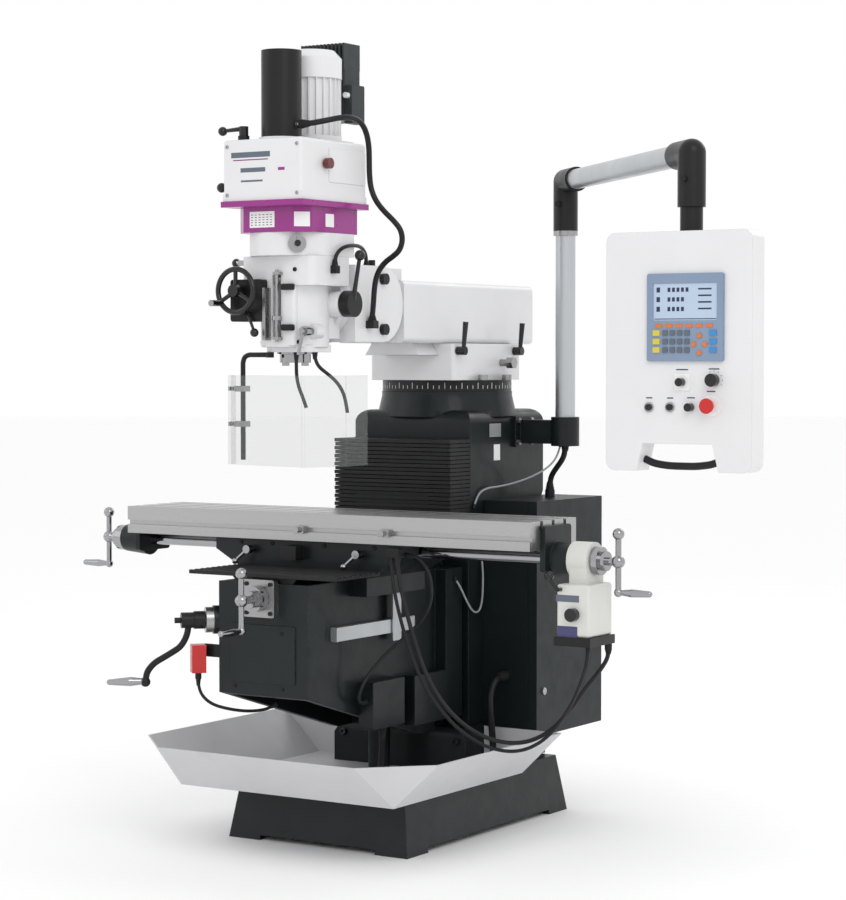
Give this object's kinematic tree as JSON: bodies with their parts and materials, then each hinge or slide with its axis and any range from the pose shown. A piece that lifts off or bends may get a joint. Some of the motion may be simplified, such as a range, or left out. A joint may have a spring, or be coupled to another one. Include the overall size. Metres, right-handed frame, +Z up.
{
  "type": "vertical turret milling machine",
  "caption": "Knee-type vertical milling machine with swivelling turret ram and head, power table feed, swing-arm control panel, splash guard and chip tray.",
  "frame": {"origin": "centre of the base casting's footprint, on the floor", "axes": "+Z up, +X to the machine's right along the table, -Y towards the operator"},
  "size_m": [2.2505, 1.4985, 2.29],
  "materials": {
    "machine_enamel": "satin",
    "white_enamel": "satin",
    "tray_enamel": "satin",
    "cabinet_enamel": "satin",
    "magenta_enamel": "satin",
    "cast_enamel_white": "satin",
    "cast_enamel_dark": "satin",
    "ground_cast_iron": "ground",
    "ground_steel": "ground",
    "polished_steel": "polished",
    "anodised_aluminium": "satin",
    "black_plastic": "matte",
    "black_knob": "gloss",
    "black_rubber": "matte",
    "red_plastic": "gloss",
    "feed_unit_case": "satin",
    "display_unit": "satin",
    "clear_acrylic": "clear"
  },
  "bodies": {
    "column": {"base_casting": "cast_enamel_dark", "column_casting": "cast_enamel_dark", "chip_tray": "tray_enamel", "electrical_cabinet": "cabinet_enamel", "mast_post": "anodised_aluminium", "rear_way_cover": "black_rubber", "column_cables": "black_rubber"},
    "cabinet_door": {"cabinet_door": "cabinet_enamel"},
    "swing_arm": {"mast_arm": "anodised_aluminium"},
    "control_panel": {"control_panel_housing": "white_enamel", "readout_unit": "display_unit"},
    "direction_switch": {"direction_switch": "black_knob"},
    "spindle_speed_knob": {"spindle_speed_knob": "black_knob"},
    "start_button": {"start_button": "black_knob"},
    "stop_button": {"stop_button": "black_knob"},
    "mode_selector": {"mode_selector": "black_knob"},
    "emergency_stop": {"emergency_stop": "red_plastic"},
    "turret": {"turret_saddle": "cast_enamel_white"},
    "ram_lock_front": {"ram_lock_lever_front": "black_knob"},
    "ram_lock_rear": {"ram_lock_lever_rear": "black_knob"},
    "ram_feed": {"ram_feed_knob": "ground_steel"},
    "ram": {"ram": "cast_enamel_white"},
    "adapter": {"ram_adapter": "cast_enamel_white"},
    "head": {"head_casting": "cast_enamel_white", "quill_feed_box": "black_plastic", "spindle_gear_housing": "magenta_enamel", "belt_cover": "white_enamel", "spindle_motor": "white_enamel", "drive_belt": "black_rubber", "guard_rod": "black_plastic", "head_hoses": "black_rubber"},
    "quill": {"quill": "polished_steel"},
    "spindle": {"spindle": "ground_steel"},
    "spindle_pulley": {"spindle_pulley": "ground_cast_iron"},
    "motor_pulley": {"motor_pulley": "ground_cast_iron"},
    "handwheel": {"quill_handwheel": "black_knob"},
    "feed_lever": {"quill_feed_lever": "black_knob"},
    "quill_lock": {"quill_lock_lever": "polished_steel"},
    "trip_lever": {"feed_trip_lever": "polished_steel"},
    "engage_knob": {"feed_engage_knob": "polished_steel"},
    "brake_lever": {"brake_lever": "black_knob"},
    "range_lever": {"range_lever": "black_knob"},
    "speed_dial": {"speed_range_dial": "polished_steel"},
    "guard": {"guard_screen": "clear_acrylic"},
    "knee": {"knee_casting": "cast_enamel_dark", "front_way_cover": "black_rubber", "knee_electrics": "machine_enamel", "trailing_cables": "black_rubber"},
    "lift_screw": {"lift_screw": "ground_steel"},
    "lift_crank": {"knee_lift_crank": "black_plastic"},
    "cross_screw": {"cross_feed_screw": "polished_steel"},
    "saddle": {"saddle_casting": "cast_enamel_dark"},
    "saddle_lock_left": {"saddle_lock_lever_left": "polished_steel"},
    "saddle_lock_right": {"saddle_lock_lever_right": "polished_steel"},
    "table": {"table": "ground_cast_iron", "table_fittings": "cast_enamel_dark", "power_feed_unit": "feed_unit_case"},
    "table_screw": {"table_feed_screw": "polished_steel"},
    "feed_unit_lever": {"power_feed_lever": "black_knob"},
    "feed_unit_dial": {"power_feed_dial": "black_knob"}
  },
  "joints": [
    {"name": "cabinet_door_hinge", "type": "hinge", "parent": "column", "child": "cabinet_door", "pos_m": [0.3585, 0.539, 0.62], "axis": [0, 0, 1], "range_deg": [0, 110]},
    {"name": "swing_arm_turn", "type": "hinge", "parent": "column", "child": "swing_arm", "pos_m": [0.36, 0.35, 1.78], "axis": [0, 0, 1], "range_deg": [-30, 40]},
    {"name": "panel_turn", "type": "hinge", "parent": "swing_arm", "child": "control_panel", "pos_m": [1.13775, -0.37021, 1.789], "axis": [0, 0, 1], "range_deg": [-60, 60]},
    {"name": "direction_switch_turn", "type": "hinge", "parent": "control_panel", "child": "direction_switch", "pos_m": [1.1395, -0.425, 1.333], "axis": [0, 1, 0], "range_deg": [-45, 45]},
    {"name": "spindle_speed_turn", "type": "hinge", "parent": "control_panel", "child": "spindle_speed_knob", "pos_m": [1.231, -0.425, 1.3385], "axis": [0, 1, 0], "range_deg": [-135, 135]},
    {"name": "mode_selector_turn", "type": "hinge", "parent": "control_panel", "child": "mode_selector", "pos_m": [1.1655, -0.425, 1.268], "axis": [0, 1, 0], "range_deg": [-45, 45]},
    {"name": "start_button_press", "type": "slide", "parent": "control_panel", "child": "start_button", "axis": [0, 1, 0], "range_m": [0, 0.003], "stiffness_N_per_m": 300},
    {"name": "stop_button_press", "type": "slide", "parent": "control_panel", "child": "stop_button", "axis": [0, 1, 0], "range_m": [0, 0.003], "stiffness_N_per_m": 300},
    {"name": "emergency_stop_press", "type": "slide", "parent": "control_panel", "child": "emergency_stop", "axis": [0, 1, 0], "range_m": [0, 0.005]},
    {"name": "turret_swivel", "type": "hinge", "parent": "column", "child": "turret", "pos_m": [0, 0.25, 1.295], "axis": [0, 0, 1], "range_deg": [-45, 45]},
    {"name": "ram_lock_front_turn", "type": "hinge", "parent": "turret", "child": "ram_lock_front", "pos_m": [0.15, 0.066, 1.418], "axis": [1, 0, 0], "range_deg": [-60, 30]},
    {"name": "ram_lock_rear_turn", "type": "hinge", "parent": "turret", "child": "ram_lock_rear", "pos_m": [0.15, 0.4, 1.418], "axis": [1, 0, 0], "range_deg": [-60, 30]},
    {"name": "ram_feed_turn", "type": "hinge", "parent": "turret", "child": "ram_feed", "pos_m": [0.15, 0.322, 1.382], "axis": [1, 0, 0], "range_deg": [-720, 720]},
    {"name": "ram_slide", "type": "slide", "parent": "turret", "child": "ram", "axis": [0, 1, 0], "range_m": [-0.15, 0.25]},
    {"name": "head_nod", "type": "hinge", "parent": "ram", "child": "adapter", "pos_m": [0, -0.285, 1.55], "axis": [-1, 0, 0], "range_deg": [-10, 10]},
    {"name": "head_swivel", "type": "hinge", "parent": "adapter", "child": "head", "pos_m": [0, -0.45, 1.558], "axis": [0, -1, 0], "range_deg": [-45, 45], "deforming": ["head_hoses"]},
    {"name": "quill_slide", "type": "slide", "parent": "head", "child": "quill", "axis": [0, 0, 1], "range_m": [-0.127, 0]},
    {"name": "spindle_turn", "type": "hinge", "parent": "quill", "child": "spindle", "pos_m": [0, -0.553, 1.383], "axis": [0, 0, 1], "continuous": true},
    {"name": "spindle_pulley_turn", "type": "hinge", "parent": "head", "child": "spindle_pulley", "pos_m": [0, -0.553, 1.87], "axis": [0, 0, 1], "continuous": true},
    {"name": "motor_pulley_turn", "type": "hinge", "parent": "head", "child": "motor_pulley", "pos_m": [0, -0.473, 1.87], "axis": [0, 0, 1], "continuous": true},
    {"name": "handwheel_turn", "type": "hinge", "parent": "head", "child": "handwheel", "pos_m": [-0.098, -0.69, 1.582], "axis": [0, -1, 0], "range_deg": [-18400, 18400]},
    {"name": "feed_lever_turn", "type": "hinge", "parent": "head", "child": "feed_lever", "pos_m": [0, -0.488, 1.547], "axis": [1, 0, 0], "range_deg": [-510, 510]},
    {"name": "quill_lock_turn", "type": "hinge", "parent": "head", "child": "quill_lock", "pos_m": [0.088, -0.64, 1.47], "axis": [0, 1, 0], "range_deg": [-40, 40]},
    {"name": "trip_lever_turn", "type": "hinge", "parent": "head", "child": "trip_lever", "pos_m": [-0.075, -0.67, 1.52], "axis": [0, 1, 0], "range_deg": [-15, 15]},
    {"name": "engage_knob_pull", "type": "slide", "parent": "head", "child": "engage_knob", "axis": [-1, 0, 0], "range_m": [0, 0.012]},
    {"name": "brake_lever_turn", "type": "hinge", "parent": "head", "child": "brake_lever", "pos_m": [-0.092, -0.668, 2.031], "axis": [0, 0, 1], "range_deg": [-25, 25]},
    {"name": "range_lever_turn", "type": "hinge", "parent": "head", "child": "range_lever", "pos_m": [-0.1565, -0.64, 1.873], "axis": [0, 1, 0], "range_deg": [-20, 20]},
    {"name": "speed_dial_turn", "type": "hinge", "parent": "head", "child": "speed_dial", "pos_m": [0, -0.561, 1.71], "axis": [0.6428, -0.766, 0], "range_deg": [-120, 120]},
    {"name": "guard_swing", "type": "hinge", "parent": "head", "child": "guard", "pos_m": [-0.14, -0.61, 1.25], "axis": [0, 0, -1], "range_deg": [0, 110]},
    {"name": "knee_slide", "type": "slide", "parent": "column", "child": "knee", "axis": [0, 0, 1], "range_m": [-0.03, 0.12], "deforming": ["rear_way_cover", "trailing_cables"]},
    {"name": "lift_screw_turn", "type": "hinge", "parent": "knee", "child": "lift_screw", "pos_m": [0, -0.13, 0.6], "axis": [0, 0, 1], "range_deg": [-9000, 9000]},
    {"name": "lift_crank_turn", "type": "hinge", "parent": "knee", "child": "lift_crank", "pos_m": [-0.151, -0.656, 0.663], "axis": [0.7071, 0.7071, 0], "range_deg": [-18000, 18000]},
    {"name": "saddle_slide", "type": "slide", "parent": "knee", "child": "saddle", "axis": [0, 1, 0], "range_m": [-0.21, 0.12], "deforming": ["front_way_cover"]},
    {"name": "cross_screw_turn", "type": "hinge", "parent": "knee", "child": "cross_screw", "pos_m": [0, -0.76, 0.735], "axis": [0, 1, 0], "range_deg": [-15200, 15200]},
    {"name": "saddle_lock_left_turn", "type": "hinge", "parent": "saddle", "child": "saddle_lock_left", "pos_m": [-0.188, -0.52, 0.85], "axis": [0, 1, 0], "range_deg": [0, 45]},
    {"name": "saddle_lock_right_turn", "type": "hinge", "parent": "saddle", "child": "saddle_lock_right", "pos_m": [0.188, -0.52, 0.85], "axis": [0, 1, 0], "range_deg": [0, 45]},
    {"name": "table_slide", "type": "slide", "parent": "saddle", "child": "table", "axis": [1, 0, 0], "range_m": [-0.38, 0.28]},
    {"name": "table_screw_turn", "type": "hinge", "parent": "table", "child": "table_screw", "pos_m": [0, -0.39, 0.854], "axis": [1, 0, 0], "range_deg": [-27500, 27500]},
    {"name": "feed_unit_lever_turn", "type": "hinge", "parent": "table", "child": "feed_unit_lever", "pos_m": [0.805, -0.475, 0.78], "axis": [0, 1, 0], "range_deg": [-25, 25]},
    {"name": "feed_unit_dial_turn", "type": "hinge", "parent": "table", "child": "feed_unit_dial", "pos_m": [0.845, -0.475, 0.715], "axis": [0, 1, 0], "range_deg": [-135, 135]}
  ],
  "couplings": [
    {"joint": "ram_feed_turn", "follows": "ram_slide", "rad_per_m": -50},
    {"joint": "handwheel_turn", "follows": "quill_slide", "rad_per_m": -2513.3},
    {"joint": "feed_lever_turn", "follows": "quill_slide", "rad_per_m": -69},
    {"joint": "spindle_turn", "follows": "spindle_pulley_turn", "ratio": 1},
    {"joint": "motor_pulley_turn", "follows": "spindle_pulley_turn", "ratio": 2.6},
    {"joint": "lift_screw_turn", "follows": "knee_slide", "rad_per_m": 1256.6},
    {"joint": "lift_crank_turn", "follows": "knee_slide", "rad_per_m": 2513.3},
    {"joint": "cross_screw_turn", "follows": "saddle_slide", "rad_per_m": 1256.6},
    {"joint": "table_screw_turn", "follows": "table_slide", "rad_per_m": 1256.6}
  ]
}
